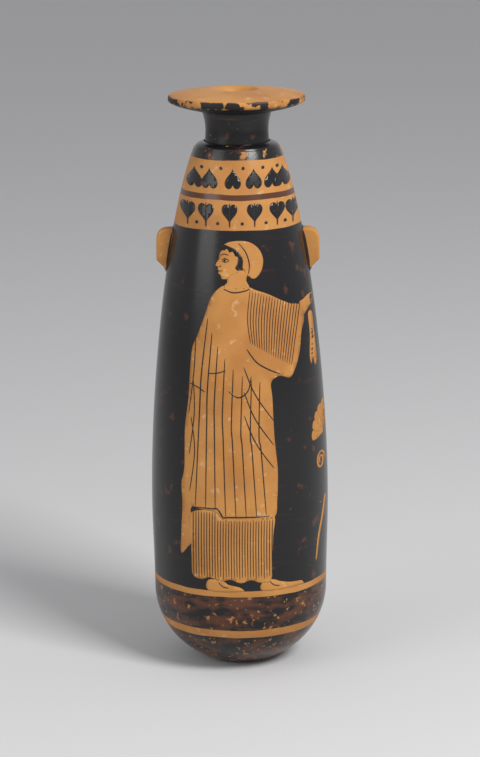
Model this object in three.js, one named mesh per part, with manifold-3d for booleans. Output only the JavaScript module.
// A small perfume vase of fired clay: a thrown body without a foot, a luted neck and a flat mouth disc.
// Millimetres, +Z up, origin at the centre of the small resting flat, lugs on the X axis.
import * as THREE from 'three';
import { mergeVertices } from 'three/addons/utils/BufferGeometryUtils.js';
import Module from 'manifold-3d';

const wasm = await Module();
wasm.setup();

// Steps round the axis of every turned piece
const turnSteps = 48;

// Body, outside
const restRadius = 9;
const bowlRadius = 25.8;
const bowlDepth = 24;
const bellyRadius = 26.35;
const bellyHeight = 50;
const shoulderRadius = 12.6;
const shoulderHeight = 154.9;
const bellyRise = 31.8;
const shoulderReach = 23.4;
const shoulderLean = THREE.MathUtils.degToRad(21.7);

// Body, inside
const floorThickness = 6;
const wallThickness = 4;
const throatRadius = 6.5;
const throatLength = 3.4;
const throatLean = THREE.MathUtils.degToRad(30);

// Neck, which stands on the shoulder
const neckFootRadius = 9.4;
const neckWaistRadius = 9.1;
const neckTopRadius = 10.2;
const neckLength = 10.3;
const neckWaistRise = 5.7;
const boreRadius = 4.6;

// Coil of clay that seals the neck's foot
const luteGap = 0.3;
const coilHeight = 1.7;
const coilTopWidth = 0.5;
const coilInset = 0.3;

// Mouth disc, which sits on the neck's top
const discRadius = 20;
const discDrop = 2.8;
const discEdge = 2;
const discCorner = 0.8;
const discRise = 1.6;
const lipRadius = 6.1;
const funnelDepth = 3;

// Side lugs, pressed on the wall and not pierced
const lugBottom = 118.5;
const lugHeight = 12.5;
const lugReach = 23.9;
const lugThickness = 5;
const lugCorner = 3;
const lugBevel = 0.6;
const lugRootDepth = 5;

const neckTop = shoulderHeight + neckLength;
const bowlHeight = bowlDepth * Math.sqrt(1 - (restRadius / bowlRadius) ** 2);

const blackGloss = { color: 0x1b1a1a, roughness: 0.32, metalness: 0 };
const firedClay = { color: 0xb98f6a, roughness: 0.75, metalness: 0 };

function point(radius, height) {
  return new THREE.Vector2(radius, height);
}

// Quarter of an ellipse about the axis, from a start angle up to the level of its centre
function bowlCurve(radius, depth, centreHeight, startRadius, steps) {
  const start = Math.asin(startRadius / radius);
  const points = [];
  for (let i = 0; i <= steps; i += 1) {
    const angle = start + (Math.PI / 2 - start) * (i / steps);
    points.push(point(radius * Math.sin(angle), centreHeight - depth * Math.cos(angle)));
  }
  return points;
}

// Upright wall that swells from one radius to the other, upright at both ends
function swellCurve(lowRadius, lowHeight, highRadius, highHeight, steps) {
  const third = (highHeight - lowHeight) / 3;
  return new THREE.CubicBezierCurve(
    point(lowRadius, lowHeight),
    point(lowRadius, lowHeight + third),
    point(highRadius, highHeight - third),
    point(highRadius, highHeight),
  ).getPoints(steps);
}

// Wall that leaves the belly upright and leans in at the top
function shoulderCurve(lowRadius, topRadius, topHeight, lean, steps) {
  return new THREE.CubicBezierCurve(
    point(lowRadius, bellyHeight),
    point(lowRadius, bellyHeight + bellyRise),
    point(topRadius + shoulderReach * Math.sin(lean), topHeight - shoulderReach * Math.cos(lean)),
    point(topRadius, topHeight),
  ).getPoints(steps);
}

function outsideProfile(offset = 0) {
  return [
    ...bowlCurve(bowlRadius + offset, bowlDepth + offset, bowlHeight, restRadius, 7),
    ...swellCurve(bowlRadius + offset, bowlHeight, bellyRadius + offset, bellyHeight, 3).slice(1),
    ...shoulderCurve(bellyRadius + offset, shoulderRadius + offset, shoulderHeight, shoulderLean, 12).slice(1),
  ];
}

function insideProfile() {
  const radius = bellyRadius - wallThickness;
  const lowRadius = bowlRadius - wallThickness;
  const throatHeight = shoulderHeight - throatLength;
  return [
    ...bowlCurve(lowRadius, bowlHeight - floorThickness, bowlHeight, 0, 6),
    ...swellCurve(lowRadius, bowlHeight, radius, bellyHeight, 2).slice(1),
    ...shoulderCurve(radius, throatRadius, throatHeight, throatLean, 9).slice(1),
    point(throatRadius, shoulderHeight),
  ];
}

function turned(profile) {
  return new THREE.LatheGeometry(profile, turnSteps).rotateX(Math.PI / 2);
}

function solidOf(geometry) {
  const bare = geometry.clone();
  bare.deleteAttribute('normal');
  bare.deleteAttribute('uv');
  const merged = mergeVertices(bare, 1e-4);
  const source = merged.index.array;
  const corners = [];
  for (let i = 0; i < source.length; i += 3) {
    const [a, b, c] = source.slice(i, i + 3);
    if (a !== b && b !== c && c !== a) corners.push(a, b, c);
  }
  return new wasm.Manifold(new wasm.Mesh({
    numProp: 3,
    vertProperties: new Float32Array(merged.attributes.position.array),
    triVerts: new Uint32Array(corners),
  }));
}

function geometryOf(solid) {
  const mesh = solid.getMesh();
  const geometry = new THREE.BufferGeometry();
  geometry.setAttribute('position', new THREE.BufferAttribute(mesh.vertProperties, 3));
  geometry.setIndex(new THREE.BufferAttribute(mesh.triVerts, 1));
  geometry.computeVertexNormals();
  return geometry;
}

function named(name, geometry, finish) {
  const mesh = new THREE.Mesh(geometry, new THREE.MeshStandardMaterial(finish));
  mesh.name = name;
  return mesh;
}

// Thrown body: rounded bottom with a small resting flat, hollow up to the throat
function makeBody() {
  const profile = [point(0, 0), ...outsideProfile(), ...insideProfile().reverse()];
  return named('body', turned(profile), blackGloss);
}

// Concave neck with a straight bore, its foot flat on the shoulder
function makeNeck() {
  const waist = shoulderHeight + neckWaistRise;
  const outside = new THREE.SplineCurve([
    point(neckFootRadius, shoulderHeight),
    point(neckFootRadius, shoulderHeight + coilHeight),
    point(neckWaistRadius, waist),
    point((neckWaistRadius + neckTopRadius) / 2, (waist + neckTop) / 2 + 0.7),
    point(neckTopRadius, neckTop),
  ]).getPoints(10);
  const profile = [
    ...outside,
    point(boreRadius, neckTop),
    point(boreRadius, shoulderHeight),
    outside[0],
  ];
  return named('neck', turned(profile), blackGloss);
}

// Sealing coil: a low sloping ring on the shoulder, a luting gap away from the neck
function makeCoil() {
  const inner = neckFootRadius + luteGap;
  const outer = shoulderRadius - coilInset;
  const top = shoulderHeight + coilHeight;
  const profile = [
    point(inner, shoulderHeight),
    point(outer, shoulderHeight),
    point((outer + inner + coilTopWidth) / 2 + coilInset, shoulderHeight + coilHeight / 2),
    point(inner + coilTopWidth, top),
    point(inner, top),
    point(inner, shoulderHeight),
  ];
  return named('shoulder_collar', turned(profile), blackGloss);
}

// Mouth disc: dished underside, upright edge with soft corners, top rising to the lip of the orifice
function makeDisc() {
  const rim = neckTop + discDrop;
  const edgeTop = rim + discEdge;
  const underside = new THREE.CubicBezierCurve(
    point(neckTopRadius, neckTop),
    point(neckTopRadius + 3, neckTop + discDrop / 3),
    point(discRadius - 3, rim - discDrop / 2),
    point(discRadius - discCorner / 2, rim),
  ).getPoints(6);
  const edge = new THREE.QuadraticBezierCurve(
    point(discRadius, edgeTop - discCorner),
    point(discRadius, edgeTop),
    point(discRadius - discCorner, edgeTop + discCorner / 8),
  ).getPoints(3);
  const dome = new THREE.QuadraticBezierCurve(
    point(discRadius - discCorner, edgeTop + discCorner / 8),
    point((discRadius + lipRadius) / 2, edgeTop + discRise * 0.8),
    point(lipRadius, edgeTop + discRise),
  ).getPoints(4);
  const profile = [
    point(boreRadius, neckTop),
    ...underside,
    ...edge,
    ...dome.slice(1),
    point(boreRadius, edgeTop + discRise - funnelDepth),
    point(boreRadius, neckTop),
  ];
  return named('mouth_disc', turned(profile), firedClay);
}

// Lug outline in the plane of the axis: rounded above, vertical outside, sloping back to the wall below
function lugOutline() {
  const top = lugBottom + lugHeight;
  const outer = lugReach - lugBevel;
  const low = lugBottom + lugBevel;
  const high = top - lugBevel;
  const slope = lugReach - shoulderWallRadius(lugBottom);
  const root = shoulderWallRadius(top) - lugRootDepth;
  const shape = new THREE.Shape();
  shape.moveTo(root, low);
  shape.lineTo(outer - slope, low);
  shape.lineTo(outer, low + slope);
  shape.lineTo(outer, high - lugCorner);
  shape.quadraticCurveTo(outer, high, outer - lugCorner, high);
  shape.lineTo(root, high);
  shape.closePath();
  return shape;
}

// Outer radius of the wall at a height between the belly and the shoulder
function shoulderWallRadius(height) {
  const wall = outsideProfile();
  const above = wall.findIndex((corner) => corner.y >= height);
  const low = wall[above - 1];
  const high = wall[above];
  const share = (height - low.y) / (high.y - low.y);
  return low.x + (high.x - low.x) * share;
}

function makeLug(name, turn) {
  const depth = lugThickness - 2 * lugBevel;
  const blank = new THREE.ExtrudeGeometry(lugOutline(), {
    depth,
    bevelSize: lugBevel,
    bevelThickness: lugBevel,
    bevelSegments: 2,
    curveSegments: 5,
  });
  blank.translate(0, 0, -depth / 2);
  blank.rotateX(Math.PI / 2);
  blank.rotateZ(turn);
  const grown = outsideProfile(luteGap);
  const core = turned([point(0, grown[0].y), ...grown, point(0, shoulderHeight)]);
  const cut = solidOf(blank).subtract(solidOf(core));
  return named(name, geometryOf(cut), blackGloss);
}

const group = new THREE.Group();
group.add(
  makeBody(),
  makeNeck(),
  makeCoil(),
  makeDisc(),
  makeLug('lug_right', 0),
  makeLug('lug_left', Math.PI),
);

export default group;
